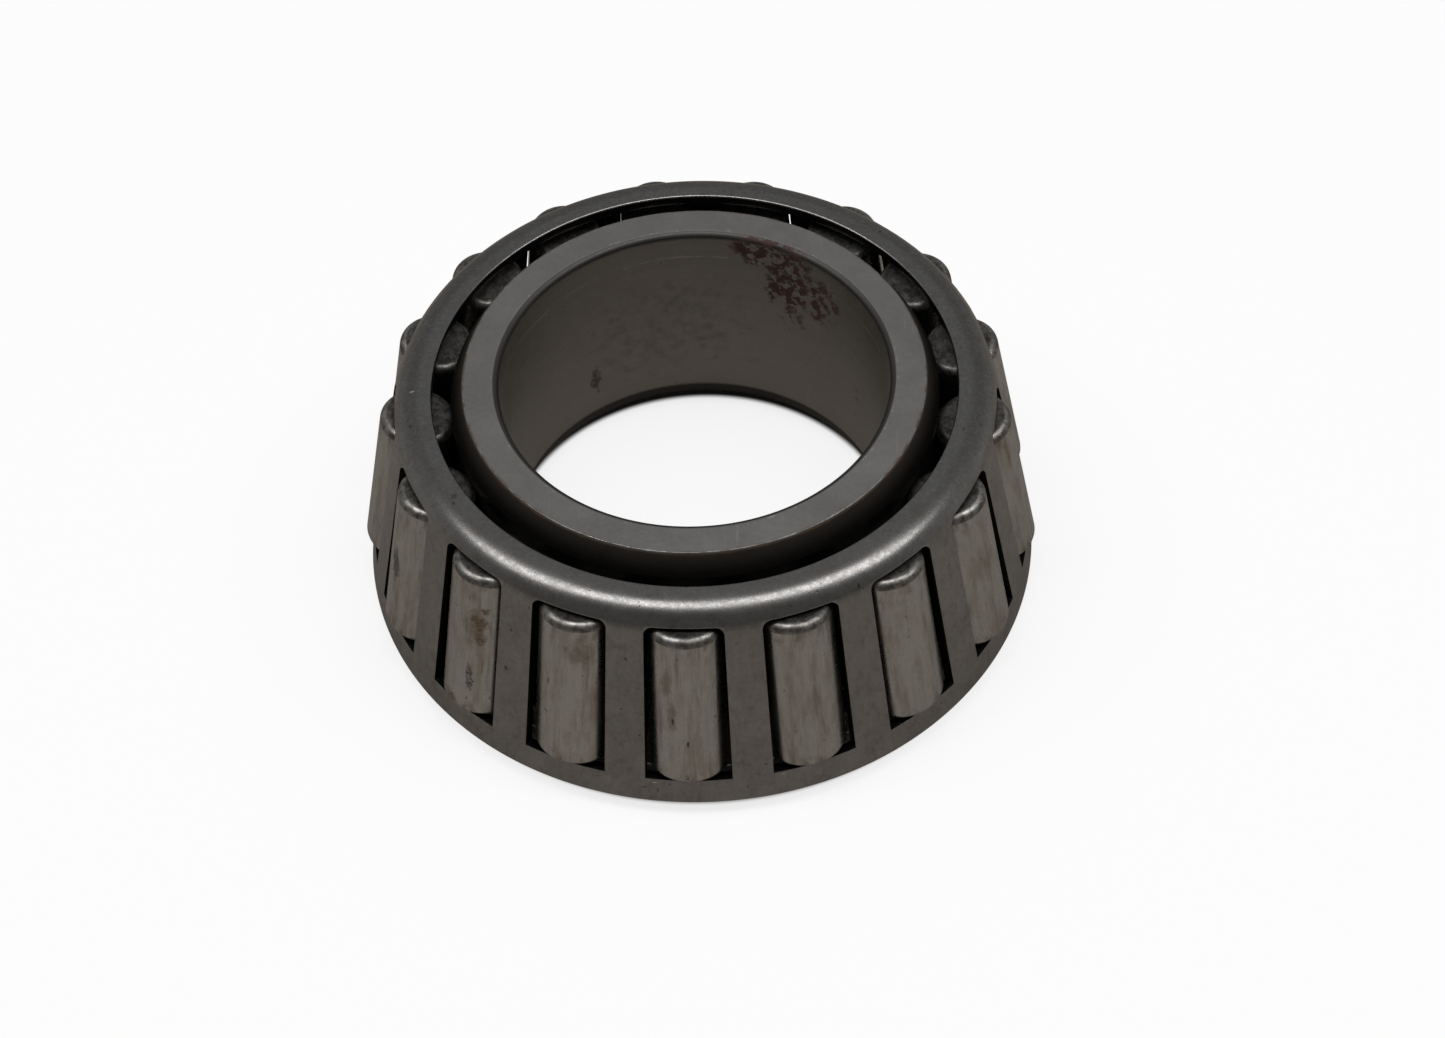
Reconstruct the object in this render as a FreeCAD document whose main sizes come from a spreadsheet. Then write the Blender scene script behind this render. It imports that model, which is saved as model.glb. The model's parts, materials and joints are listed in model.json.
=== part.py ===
import FreeCAD, Part
import math
import os

import Sketcher

# Inner assembly of a single row tapered roller bearing: ring, pressed cage and tapered rollers.
#
# The ring stands on its back face: the origin is the centre of that face, and +Z runs along
# the bore towards the small front face. The first roller is on the -Y side.
# Every roller, the raceway and the outer ring that is not part of this unit are cones with one
# shared apex on the axis above the ring, so the rollers roll without slipping.
# Lengths are in millimetres, angles in degrees. A profile is drawn as (radius, height) points.

SIZES = [
    # inner ring
    ("bore_diameter", 38.1),
    ("ring_width", 25.65),
    ("ring_section", 7.1),           # radial, from the bore to the large end of the raceway
    ("raceway_angle", 8.585),        # between the raceway and the axis
    ("back_rib_thickness", 3.72),    # height of the raceway's large end above the back face
    ("back_rib_height", 2.75),       # radial, above the raceway
    ("front_rib_length", 3.75),
    ("front_rib_height", 0.42),      # radial, above the raceway
    ("front_flank_width", 1.15),
    ("front_flank_length", 1.95),
    ("front_bevel", 0.2),
    ("back_bore_corner", 3.6),
    ("front_bore_corner", 0.7),
    ("back_rim_corner", 0.5),
    ("front_rib_corner", 0.15),
    ("relief_radius", 0.3),          # grinding reliefs at both ends of the raceway
    # rollers
    ("roller_count", 17),
    ("roller_diameter", 8.3),        # at the large end
    ("roller_small_corner", 0.85),
    ("roller_large_corner", 0.7),
    ("rolling_clearance", 0.03),     # roller to raceway, and roller to back rib
    ("end_play", 0.38),              # roller to front rib
    # cage
    ("sheet_thickness", 1.15),
    ("stand_out_large", 0.93),       # rollers outside the cage wall, at their large ends
    ("stand_out_small", 1.11),       # and at their small ends
    ("flange_rise", 1.9),            # flange top above the small ends
    ("flange_gap", 1.79),            # flange edge to the front rib
    ("bend_radius", 2.04),           # inside of the bend
    ("skirt_length", 3.4),           # below the large ends
    ("pocket_top_gap", 0.54),
    ("pocket_bottom_gap", 0.33),
    ("pocket_side_gap", 0.08),
    ("pocket_corner", 0.45),
    ("sheet_edge_corner", 0.22),
]

# What follows from the sizes. Suffixes: in and out are the sides of a roller towards the bore
# and away from it, large and small are its ends, r is a radius and z a height.
WORKED_OUT = [
    ("bore_r", "sizes.bore_diameter / 2"),
    ("in_large_r", "worked_out.bore_r + sizes.ring_section"),
    ("in_large_z", "sizes.back_rib_thickness"),
    ("slant", "worked_out.in_large_r / sin(sizes.raceway_angle)"),
    ("half_taper", "asin(sizes.roller_diameter / 2 / worked_out.slant) / 1 deg"),
    ("tilt", "sizes.raceway_angle + worked_out.half_taper"),
    ("cup_angle", "sizes.raceway_angle + 2 * worked_out.half_taper"),
    ("in_small_z", "sizes.ring_width - sizes.front_rib_length - sizes.end_play"),
    ("in_small_r", "worked_out.in_large_r"
                   " - (worked_out.in_small_z - worked_out.in_large_z) * tan(sizes.raceway_angle)"),
    ("roller_length", "(worked_out.in_small_z - worked_out.in_large_z) / cos(sizes.raceway_angle)"
                      " * cos(worked_out.half_taper)"),
    ("end_dome", "worked_out.slant * (1 - cos(worked_out.half_taper))"),
    ("large_r", "sizes.roller_diameter / 2"),
    ("small_r", "worked_out.large_r - worked_out.roller_length * tan(worked_out.half_taper)"),
    ("apex_z", "worked_out.in_large_z + worked_out.slant * cos(sizes.raceway_angle)"),
    ("centre_r", "worked_out.slant * sin(worked_out.tilt)"),
    ("centre_z", "worked_out.apex_z - worked_out.slant * cos(worked_out.tilt)"),
    ("out_large_r", "worked_out.in_large_r + sizes.roller_diameter * cos(worked_out.tilt)"),
    ("out_large_z", "worked_out.in_large_z + sizes.roller_diameter * sin(worked_out.tilt)"),
    ("out_small_r", "worked_out.in_small_r + 2 * worked_out.small_r * cos(worked_out.tilt)"),
    ("out_small_z", "worked_out.in_small_z + 2 * worked_out.small_r * sin(worked_out.tilt)"),
    # ring: the raceway and the rib face stand back from the rollers by the rolling clearance
    ("ring_top_z", "sizes.ring_width"),
    ("race_large_z", "worked_out.in_large_z - sizes.rolling_clearance"),
    ("race_large_r", "worked_out.in_large_r - sizes.rolling_clearance"),
    ("race_small_z", "worked_out.in_small_z + sizes.end_play"),
    ("race_small_r", "worked_out.race_large_r"
                     " - (worked_out.race_small_z - worked_out.race_large_z) * tan(sizes.raceway_angle)"),
    ("back_rib_r", "worked_out.in_large_r + sizes.back_rib_height"),
    ("back_rib_z", "worked_out.race_large_z + sizes.back_rib_height * tan(sizes.raceway_angle)"),
    ("front_rib_r", "worked_out.in_small_r + sizes.front_rib_height"),
    ("front_rib_z", "worked_out.race_small_z + sizes.front_rib_height * tan(sizes.raceway_angle)"),
    ("flank_z", "sizes.ring_width - sizes.front_bevel - sizes.front_flank_length"),
    ("bevel_r", "worked_out.front_rib_r - sizes.front_flank_width"),
    ("bevel_z", "sizes.ring_width - sizes.front_bevel"),
    ("front_face_r", "worked_out.bevel_r - sizes.front_bevel"),
    # cage: a conical wall, bent over to a flat flange at the small end
    ("sheet", "sizes.sheet_thickness"),
    ("wall_large_r", "worked_out.out_large_r - sizes.stand_out_large"),
    ("wall_small_r", "worked_out.out_small_r - sizes.stand_out_small"),
    ("wall_angle", "atan((worked_out.wall_large_r - worked_out.wall_small_r)"
                   " / (worked_out.out_small_z - worked_out.out_large_z)) / 1 deg"),
    ("flange_top_z", "worked_out.out_small_z + sizes.flange_rise"),
    ("flange_under_z", "worked_out.flange_top_z - sizes.sheet_thickness"),
    ("flange_r", "worked_out.front_rib_r + sizes.flange_gap"),
    ("bend_out", "sizes.bend_radius + sizes.sheet_thickness"),
    ("bend_z", "worked_out.flange_top_z - worked_out.bend_out"),
    ("bend_r", "worked_out.wall_large_r - (worked_out.bend_z - worked_out.out_large_z)"
               " * tan(worked_out.wall_angle) - worked_out.bend_out / cos(worked_out.wall_angle)"),
    ("skirt_z", "worked_out.out_large_z - sizes.skirt_length"),
    ("skirt_r", "worked_out.wall_large_r + sizes.skirt_length * tan(worked_out.wall_angle)"),
    ("sheet_dr", "sizes.sheet_thickness * cos(worked_out.wall_angle)"),
    ("sheet_dz", "sizes.sheet_thickness * sin(worked_out.wall_angle)"),
    # pockets: ends square to the wall, sides radial. The sides are nearest to a roller where the
    # sheet's inner surface leaves the bend: that gives the angle, by two rounds of one formula
    ("pocket_top_r", "worked_out.out_small_r - sizes.pocket_top_gap * sin(worked_out.tilt)"),
    ("pocket_top_z", "worked_out.out_small_z + sizes.pocket_top_gap * cos(worked_out.tilt)"),
    ("pocket_low_r", "worked_out.out_large_r + sizes.pocket_bottom_gap * sin(worked_out.tilt)"),
    ("pocket_low_z", "worked_out.out_large_z - sizes.pocket_bottom_gap * cos(worked_out.tilt)"),
    ("cut_dr", "(sizes.stand_out_small + 2 * sizes.sheet_thickness) * cos(worked_out.wall_angle)"),
    ("cut_dz", "(sizes.stand_out_small + 2 * sizes.sheet_thickness) * sin(worked_out.wall_angle)"),
    ("sheet_in_r", "worked_out.bend_r + sizes.bend_radius * cos(worked_out.wall_angle)"),
    ("sheet_in_z", "worked_out.bend_z + sizes.bend_radius * sin(worked_out.wall_angle)"),
    ("side_z", "(worked_out.sheet_in_z - worked_out.centre_z) * sin(worked_out.tilt)"),
    ("side_reach", "worked_out.small_r + sizes.pocket_side_gap"),
    ("first_depth", "(worked_out.sheet_in_r - worked_out.centre_r) * cos(worked_out.tilt)"
                    " + worked_out.side_z"),
    ("first_half", "asin(sqrt(pow(worked_out.side_reach; 2) - pow(worked_out.first_depth; 2))"
                   " / worked_out.sheet_in_r) / 1 deg"),
    ("side_depth", "(worked_out.sheet_in_r * cos(worked_out.first_half) - worked_out.centre_r)"
                   " * cos(worked_out.tilt) + worked_out.side_z"),
    ("pocket_angle", "2 * asin(sqrt(pow(worked_out.side_reach; 2) - pow(worked_out.side_depth; 2))"
                     " / worked_out.sheet_in_r) / 1 deg"),
    ("pitch_angle", "360 / sizes.roller_count"),
]

FRONT = -90.0         # azimuth of the first roller, about +Z from +X
SAME_PLACE = 1e-4     # two points or sizes closer than this are one
ON_LINE = 0.01        # an edge's middle this close to a window's top line lies on it
LEAST_CUT = 1e-3      # a cut that takes away less volume than this has missed the solid


def make_sizes(doc):
    """The sheet of driving dimensions, one named cell each."""
    sheet = doc.addObject("Spreadsheet::Sheet", "sizes")
    for row, (name, number) in enumerate(SIZES, start=1):
        sheet.set("A%d" % row, name)
        sheet.set("B%d" % row, str(number))
        sheet.setAlias("B%d" % row, name)
    doc.recompute()
    return sheet


def make_worked_out(doc):
    """The dimensions that follow from the sheet, each bound to its formula."""
    group = doc.addObject("App::VarSet", "worked_out")
    for name, formula in WORKED_OUT:
        group.addProperty("App::PropertyFloat", name, "Geometry")
        group.setExpression(name, formula)
        doc.recompute()
    return group


def plane_of(body, role):
    """One of the body's own origin planes."""
    return next(item for item in body.Origin.OriginFeatures if item.Role == role)


def make_body(doc, name):
    body = doc.addObject("PartDesign::Body", name)
    body.Label = name
    doc.recompute()
    return body


def make_sketch(body, name):
    """An empty sketch on the body's XZ plane: sketch x is the radius, sketch y the height."""
    sketch = body.newObject("Sketcher::SketchObject", name)
    sketch.AttachmentSupport = [(plane_of(body, "XZ_Plane"), "")]
    sketch.MapMode = "FlatFace"
    return sketch


def number(sketch, formula):
    """The present value of a formula, used to draw each line near its final place."""
    return float(sketch.evalExpression(formula))


def pin_point(sketch, geometry, end, radius, height):
    """Bind one end of a line to its radius and height."""
    for kind, axis, formula in (("DistanceX", -2, radius), ("DistanceY", -1, height)):
        if formula == "0":
            sketch.addConstraint(Sketcher.Constraint("PointOnObject", geometry, end, axis))
            continue
        value = number(sketch, formula)
        index = sketch.addConstraint(Sketcher.Constraint(kind, geometry, end, value))
        sketch.setExpression("Constraints[%d]" % index, formula)


def draw_profile(sketch, points, bends):
    """A closed outline through the points. bends gives, for the point that a round stretch
    starts at, the formulas of its centre's radius and height and of its own radius."""
    places = []
    for radius, height in points:
        places.append(FreeCAD.Vector(number(sketch, radius), number(sketch, height), 0))
    for i, start in enumerate(places):
        end = places[(i + 1) % len(places)]
        if i in bends:
            centre_r, centre_z, _ = bends[i]
            centre = FreeCAD.Vector(number(sketch, centre_r), number(sketch, centre_z), 0)
            arm = (start - centre).Length
            middle = centre + ((start - centre) + (end - centre)).normalize() * arm
            sketch.addGeometry(Part.Arc(start, middle, end), False)
        else:
            sketch.addGeometry(Part.LineSegment(start, end), False)
    ends = [arc_ends(sketch, i, places[i]) if i in bends else (1, 2) for i in range(len(places))]
    for i in range(len(places)):
        following = (i + 1) % len(places)
        sketch.addConstraint(
            Sketcher.Constraint("Coincident", i, ends[i][1], following, ends[following][0]))
    for i, (radius, height) in enumerate(points):
        pin_point(sketch, i, ends[i][0], radius, height)
        if i in bends:
            value = number(sketch, bends[i][2])
            index = sketch.addConstraint(Sketcher.Constraint("Radius", i, value))
            sketch.setExpression("Constraints[%d]" % index, bends[i][2])


def arc_ends(sketch, geometry, start):
    """Which end of an arc is its start on the outline: arcs are stored anticlockwise."""
    gap = (sketch.getPoint(geometry, 1) - start).Length
    return (1, 2) if gap < SAME_PLACE else (2, 1)


def revolve(doc, body, sketch, name):
    turned = body.newObject("PartDesign::Revolution", name)
    turned.Profile = sketch
    turned.ReferenceAxis = (sketch, ["V_Axis"])
    turned.Angle = 360.0
    doc.recompute()
    return turned


def edges_where(shape, wanted):
    """Names of the edges that the test accepts."""
    return ["Edge%d" % (i + 1) for i, edge in enumerate(shape.Edges) if wanted(edge)]


def is_ring_edge(edge, radius, height):
    """Whether an edge is the circle about the axis at this radius and height."""
    if edge.Degenerated or not isinstance(edge.Curve, Part.Circle):
        return False
    circle = edge.Curve
    off_axis = math.hypot(circle.Center.x, circle.Center.y)
    return max(off_axis, abs(circle.Radius - radius), abs(circle.Center.z - height)) < SAME_PLACE


def round_edges(doc, body, name, size, wanted):
    """Fillet the edges of the body's present tip that the test accepts."""
    base = body.Tip
    fillet = body.newObject("PartDesign::Fillet", name)
    fillet.Base = (base, edges_where(base.Shape, wanted))
    fillet.setExpression("Radius", size)
    doc.recompute()
    return fillet


def make_inner_ring(doc, at):
    body = make_body(doc, "inner_ring")
    sketch = make_sketch(body, "ring_section")
    draw_profile(sketch, [
        ("worked_out.bore_r", "0"),
        ("worked_out.back_rib_r", "0"),
        ("worked_out.back_rib_r", "worked_out.back_rib_z"),
        ("worked_out.race_large_r", "worked_out.race_large_z"),
        ("worked_out.race_small_r", "worked_out.race_small_z"),
        ("worked_out.front_rib_r", "worked_out.front_rib_z"),
        ("worked_out.front_rib_r", "worked_out.flank_z"),
        ("worked_out.bevel_r", "worked_out.bevel_z"),
        ("worked_out.front_face_r", "sizes.ring_width"),
        ("worked_out.bore_r", "sizes.ring_width"),
    ], {})
    revolve(doc, body, sketch, "ring_turned")

    # grinding reliefs where the raceway meets each rib
    relief_sketch = make_sketch(body, "relief_section")
    corners = [("worked_out.race_large_r", "worked_out.race_large_z"),
               ("worked_out.race_small_r", "worked_out.race_small_z")]
    for radius, height in corners:
        centre = FreeCAD.Vector(number(relief_sketch, radius), number(relief_sketch, height), 0)
        size = number(relief_sketch, "sizes.relief_radius")
        index = relief_sketch.addGeometry(Part.Circle(centre, FreeCAD.Vector(0, 0, 1), size), False)
        pin_point(relief_sketch, index, 3, radius, height)
        bound = relief_sketch.addConstraint(Sketcher.Constraint("Radius", index, size))
        relief_sketch.setExpression("Constraints[%d]" % bound, "sizes.relief_radius")
    volume = body.Shape.Volume
    relief = body.newObject("PartDesign::Groove", "reliefs")
    relief.Profile = relief_sketch
    relief.ReferenceAxis = (relief_sketch, ["V_Axis"])
    relief.Angle = 360.0
    doc.recompute()
    check_removed(volume, relief, "grinding reliefs")

    round_edges(doc, body, "back_bore_round", "sizes.back_bore_corner",
                lambda edge: is_ring_edge(edge, at.bore_r, 0))
    round_edges(doc, body, "front_bore_round", "sizes.front_bore_corner",
                lambda edge: is_ring_edge(edge, at.bore_r, at.ring_top_z))
    round_edges(doc, body, "back_rib_round", "sizes.back_rim_corner",
                lambda edge: is_ring_edge(edge, at.back_rib_r, 0)
                or is_ring_edge(edge, at.back_rib_r, at.back_rib_z))
    round_edges(doc, body, "front_rib_round", "sizes.front_rib_corner",
                lambda edge: is_ring_edge(edge, at.front_rib_r, at.front_rib_z)
                or is_ring_edge(edge, at.front_rib_r, at.flank_z))
    return body


def check_removed(volume_before, feature, what):
    """A cut that points away from the solid removes nothing and reports no error."""
    if feature.Shape.Volume > volume_before - LEAST_CUT:
        raise RuntimeError("%s removed nothing" % what)


def make_roller(doc, at, index):
    """One tapered roller, drawn upright on its own axis. Its large end is part of a sphere about
    the shared apex, with its middle at height 0."""
    body = make_body(doc, "roller_%02d" % (index + 1))
    sketch = make_sketch(body, "roller_section_%02d" % (index + 1))
    small_end = "worked_out.end_dome + worked_out.roller_length"
    draw_profile(sketch, [
        ("0", "0"),
        ("worked_out.large_r", "worked_out.end_dome"),
        ("worked_out.small_r", small_end),
        ("0", small_end),
    ], {0: ("0", "worked_out.slant", "worked_out.slant")})
    revolve(doc, body, sketch, "roller_turned_%02d" % (index + 1))
    round_edges(doc, body, "large_end_round_%02d" % (index + 1), "sizes.roller_large_corner",
                lambda edge: is_ring_edge(edge, at.large_r, at.end_dome))
    round_edges(doc, body, "small_end_round_%02d" % (index + 1), "sizes.roller_small_corner",
                lambda edge: is_ring_edge(edge, at.small_r, at.end_dome + at.roller_length))
    turn = "(%d * worked_out.pitch_angle)" % index
    body.setExpression("Placement", "placement("
                       "vector(worked_out.centre_r * sin(%s); -worked_out.centre_r * cos(%s);"
                       " worked_out.centre_z); rotation(%s; 0; -worked_out.tilt))" % (turn, turn, turn))
    doc.recompute()
    return body


def make_cage(doc, at):
    """The pressed cage: a revolved sheet with one window for each roller."""
    body = make_body(doc, "cage")
    sketch = make_sketch(body, "sheet_section")
    out_dr = "worked_out.bend_out * cos(worked_out.wall_angle)"
    out_dz = "worked_out.bend_out * sin(worked_out.wall_angle)"
    in_dr = "sizes.bend_radius * cos(worked_out.wall_angle)"
    in_dz = "sizes.bend_radius * sin(worked_out.wall_angle)"
    draw_profile(sketch, [
        ("worked_out.flange_r", "worked_out.flange_top_z"),
        ("worked_out.bend_r", "worked_out.flange_top_z"),
        ("worked_out.bend_r + " + out_dr, "worked_out.bend_z + " + out_dz),
        ("worked_out.skirt_r", "worked_out.skirt_z"),
        ("worked_out.skirt_r - worked_out.sheet_dr", "worked_out.skirt_z - worked_out.sheet_dz"),
        ("worked_out.bend_r + " + in_dr, "worked_out.bend_z + " + in_dz),
        ("worked_out.bend_r", "worked_out.flange_under_z"),
        ("worked_out.flange_r", "worked_out.flange_under_z"),
    ], {
        1: ("worked_out.bend_r", "worked_out.bend_z", "worked_out.bend_out"),
        5: ("worked_out.bend_r", "worked_out.bend_z", "sizes.bend_radius"),
    })
    revolve(doc, body, sketch, "sheet_turned")

    skirt_in_r = at.skirt_r - at.sheet_dr
    skirt_in_z = at.skirt_z - at.sheet_dz
    round_edges(doc, body, "sheet_edges_round", "sizes.sheet_edge_corner",
                lambda edge: is_ring_edge(edge, at.flange_r, at.flange_top_z)
                or is_ring_edge(edge, at.flange_r, at.flange_under_z)
                or is_ring_edge(edge, at.skirt_r, at.skirt_z)
                or is_ring_edge(edge, skirt_in_r, skirt_in_z))

    # each window is cut between two half planes through the axis, so its sides are radial and
    # a roller can't pass outwards through it
    window = make_sketch(body, "pocket_section")
    draw_profile(window, [
        ("worked_out.pocket_top_r + worked_out.sheet_dr", "worked_out.pocket_top_z + worked_out.sheet_dz"),
        ("worked_out.pocket_top_r - worked_out.cut_dr", "worked_out.pocket_top_z - worked_out.cut_dz"),
        ("worked_out.pocket_low_r - worked_out.cut_dr", "worked_out.pocket_low_z - worked_out.cut_dz"),
        ("worked_out.pocket_low_r + worked_out.sheet_dr", "worked_out.pocket_low_z + worked_out.sheet_dz"),
    ], {})
    volume = body.Shape.Volume
    pocket = body.newObject("PartDesign::Groove", "pocket")
    pocket.Profile = window
    pocket.ReferenceAxis = (window, ["V_Axis"])
    pocket.Midplane = True
    pocket.setExpression("Angle", "worked_out.pocket_angle")
    doc.recompute()
    check_removed(volume, pocket, "the first pocket")

    pockets = body.newObject("PartDesign::PolarPattern", "pockets")
    pockets.Originals = [pocket]
    pockets.Axis = (window, ["V_Axis"])
    pockets.Angle = 360.0
    pockets.setExpression("Occurrences", "sizes.roller_count")
    body.Tip = pockets
    doc.recompute()
    check_removed(pocket.Shape.Volume, pockets, "the pocket pattern")

    # the windows' upper corners are rounded, across the sheet
    fillet = body.newObject("PartDesign::Fillet", "pocket_corners")
    fillet.Base = (pockets, edges_where(pockets.Shape, lambda edge: is_pocket_corner(edge, at)))
    fillet.setExpression("Radius", "sizes.pocket_corner")
    doc.recompute()
    body.Placement = FreeCAD.Placement(
        FreeCAD.Vector(0, 0, 0), FreeCAD.Rotation(FreeCAD.Vector(0, 0, 1), FRONT))
    doc.recompute()
    return body


def is_pocket_corner(edge, at):
    """Whether an edge crosses the sheet at the upper end of a window's side."""
    if edge.Degenerated or not isinstance(edge.Curve, (Part.Line, Part.LineSegment)):
        return False
    ends = [vertex.Point for vertex in edge.Vertexes]
    if len(ends) != 2 or not at.sheet / 2 < edge.Length < at.sheet * 1.5:
        return False
    middle = (ends[0] + ends[1]) * 0.5
    line = at.pocket_top_z - (at.pocket_top_r - math.hypot(middle.x, middle.y)) * at.cut_dz / at.cut_dr
    return abs(middle.z - line) < ON_LINE


def check_document(doc, bodies):
    for item in doc.Objects:
        if "Invalid" in item.State or "Error" in item.State:
            raise RuntimeError("%s did not recompute" % item.Name)
    for body in bodies:
        shape = body.Shape
        if shape.isNull() or not shape.isValid() or len(shape.Solids) != 1:
            raise RuntimeError("%s is not one sound solid" % body.Label)


def main():
    os.makedirs("parts", exist_ok=True)
    doc = FreeCAD.newDocument("tapered_roller_bearing")
    sheet = make_sizes(doc)
    at = make_worked_out(doc)
    bodies = [make_inner_ring(doc, at), make_cage(doc, at)]
    for index in range(int(sheet.roller_count)):
        bodies.append(make_roller(doc, at, index))
    doc.recompute()
    check_document(doc, bodies)
    for body in bodies:
        body.Shape.exportStep("parts/%s.step" % body.Label)
    print("cup angle %.3f, roller length %.3f, small end %.3f, over rollers %.3f, pocket %.3f"
          % (at.cup_angle, at.roller_length, 2 * at.small_r, 2 * at.out_large_r, at.pocket_angle))


main()
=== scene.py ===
import json
import math

import bmesh
import bpy
from mathutils import Matrix, Vector

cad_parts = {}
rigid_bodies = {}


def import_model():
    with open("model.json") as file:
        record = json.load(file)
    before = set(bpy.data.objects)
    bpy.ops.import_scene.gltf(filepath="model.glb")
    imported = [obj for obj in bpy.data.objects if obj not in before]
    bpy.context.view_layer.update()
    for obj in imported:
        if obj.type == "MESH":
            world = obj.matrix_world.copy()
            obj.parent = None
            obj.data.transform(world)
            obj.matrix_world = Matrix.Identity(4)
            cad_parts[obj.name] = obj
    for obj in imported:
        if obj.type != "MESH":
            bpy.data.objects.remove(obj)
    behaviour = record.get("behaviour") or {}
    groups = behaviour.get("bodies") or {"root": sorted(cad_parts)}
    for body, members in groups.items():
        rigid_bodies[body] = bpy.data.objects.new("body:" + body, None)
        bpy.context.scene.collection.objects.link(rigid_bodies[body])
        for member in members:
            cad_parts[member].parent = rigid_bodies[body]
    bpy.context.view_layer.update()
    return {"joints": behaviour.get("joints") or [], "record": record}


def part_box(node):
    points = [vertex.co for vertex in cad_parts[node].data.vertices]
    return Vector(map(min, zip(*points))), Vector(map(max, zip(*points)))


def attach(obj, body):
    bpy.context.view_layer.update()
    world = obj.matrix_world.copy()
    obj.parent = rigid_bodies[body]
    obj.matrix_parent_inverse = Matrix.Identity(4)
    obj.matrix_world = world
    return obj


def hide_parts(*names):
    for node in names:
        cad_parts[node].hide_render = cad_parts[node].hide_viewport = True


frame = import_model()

# The inner assembly of a tapered roller bearing: a turned and ground inner ring, seventeen
# tapered rollers and a pressed steel cage. The axis is Z, and the ring stands on its back face.
# Blender's lengths are metres. Everything called a size below is in millimetres, and every
# outline is drawn as (radius, height) points, as it would be on the workshop drawing.

MM = 0.001


def in_mm(corner):
    return Vector(corner) / MM


# ------------------------------------------------------------------------------------- sizes

ring_high = in_mm(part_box("inner_ring")[1])
cage_high = in_mm(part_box("cage")[1])
bore_mount = next(m for m in frame["record"]["mounts"] if m["name"] == "bore")
roller_joints = [j for j in frame["joints"] if j["parent"] == "cage"]

BORE_R = bore_mount["dims"]["r_mm"]
RING_WIDTH = ring_high.z
BACK_RIB_R = ring_high.x
FLANGE_TOP_Z = cage_high.z
ROLLER_COUNT = len(roller_joints)

# inner ring
RACEWAY_ANGLE = math.radians(8.585)
RING_SECTION = 7.1
BACK_RIB_THICKNESS = 3.72
FRONT_RIB_LENGTH = 3.75
FRONT_RIB_HEIGHT = 0.42
FRONT_FLANK = Vector((-1.15, 1.95))
FRONT_BEVEL = 0.2
BACK_BORE_CORNER = 3.6
FRONT_BORE_CORNER = 0.7
BACK_RIM_CORNER = 0.5
FRONT_RIB_CORNER = 0.15
RELIEF_RADIUS = 0.3
BROKEN_EDGE = 0.05

# rollers
ROLLER_DIAMETER = 8.3
SMALL_END_CORNER = 0.85
LARGE_END_CORNER = 0.7
ROLLING_CLEARANCE = 0.03
END_PLAY = 0.38

# cage
SHEET = 1.15
STAND_OUT_LARGE = 0.93
STAND_OUT_SMALL = 1.11
FLANGE_GAP = 1.79
BEND_RADIUS = 2.04
SKIRT_LENGTH = 3.4
POCKET_TOP_GAP = 0.54
POCKET_BOTTOM_GAP = 0.33
POCKET_ANGLE = math.radians(14.323)
POCKET_CORNER = 0.8
SHEET_EDGE_CORNER = 0.22
PUNCHED_EDGE = 0.05

# meshes: a short flat follows each round, so that smooth shading leaves the faces flat
HOLD = 0.05
WELD = 0.001
RING_STEPS = 288
ROLLER_STEPS = 72
CORNER_STEPS = 4
PUNCHED_EDGE_TURN = math.radians(50)

# what follows: in and out are the sides of a roller towards the bore and away from it
in_large = Vector((BORE_R + RING_SECTION, BACK_RIB_THICKNESS))
slant = in_large.x / math.sin(RACEWAY_ANGLE)
half_taper = math.asin(ROLLER_DIAMETER / 2 / slant)
tilt = RACEWAY_ANGLE + half_taper
in_small_z = RING_WIDTH - FRONT_RIB_LENGTH - END_PLAY
in_small = Vector((in_large.x - (in_small_z - in_large.y) * math.tan(RACEWAY_ANGLE), in_small_z))
roller_length = (in_small.y - in_large.y) / math.cos(RACEWAY_ANGLE) * math.cos(half_taper)
end_dome = slant * (1 - math.cos(half_taper))
large_r = ROLLER_DIAMETER / 2
small_r = large_r - roller_length * math.tan(half_taper)
roller_top = end_dome + roller_length
across = Vector((math.cos(tilt), math.sin(tilt)))
out_large = in_large + across * ROLLER_DIAMETER
out_small = in_small + across * 2 * small_r
front_rib_r = in_small.x + FRONT_RIB_HEIGHT
front_face_r = front_rib_r + FRONT_FLANK.x - FRONT_BEVEL

wall_large = out_large - Vector((STAND_OUT_LARGE, 0))
wall_small = out_small - Vector((STAND_OUT_SMALL, 0))
wall_down = (wall_large - wall_small).normalized()
wall_out = Vector((-wall_down.y, wall_down.x))
wall_angle = math.atan2(wall_out.y, wall_out.x)
flange_r = front_rib_r + FLANGE_GAP
bend_out = BEND_RADIUS + SHEET
bend_z = FLANGE_TOP_Z - bend_out
bend = Vector((wall_large.x + (wall_large.y - bend_z) * math.tan(wall_angle)
               - bend_out / math.cos(wall_angle), bend_z))
along_roller = Vector((-math.sin(tilt), math.cos(tilt)))
window_top = (out_small + along_roller * POCKET_TOP_GAP - bend).dot(wall_down)
window_low = (out_large - along_roller * POCKET_BOTTOM_GAP - bend).dot(wall_down)
skirt_end = (wall_large + wall_down * SKIRT_LENGTH / math.cos(wall_angle) - bend).dot(wall_down)


def round_place(azimuth, radius, height):
    """A place on the bearing: azimuth in degrees from the -Y side towards +X."""
    turn = math.radians(azimuth)
    return Vector((radius * math.sin(turn), -radius * math.cos(turn), height))


# ------------------------------------------------------------------------------ node wiring

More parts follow.
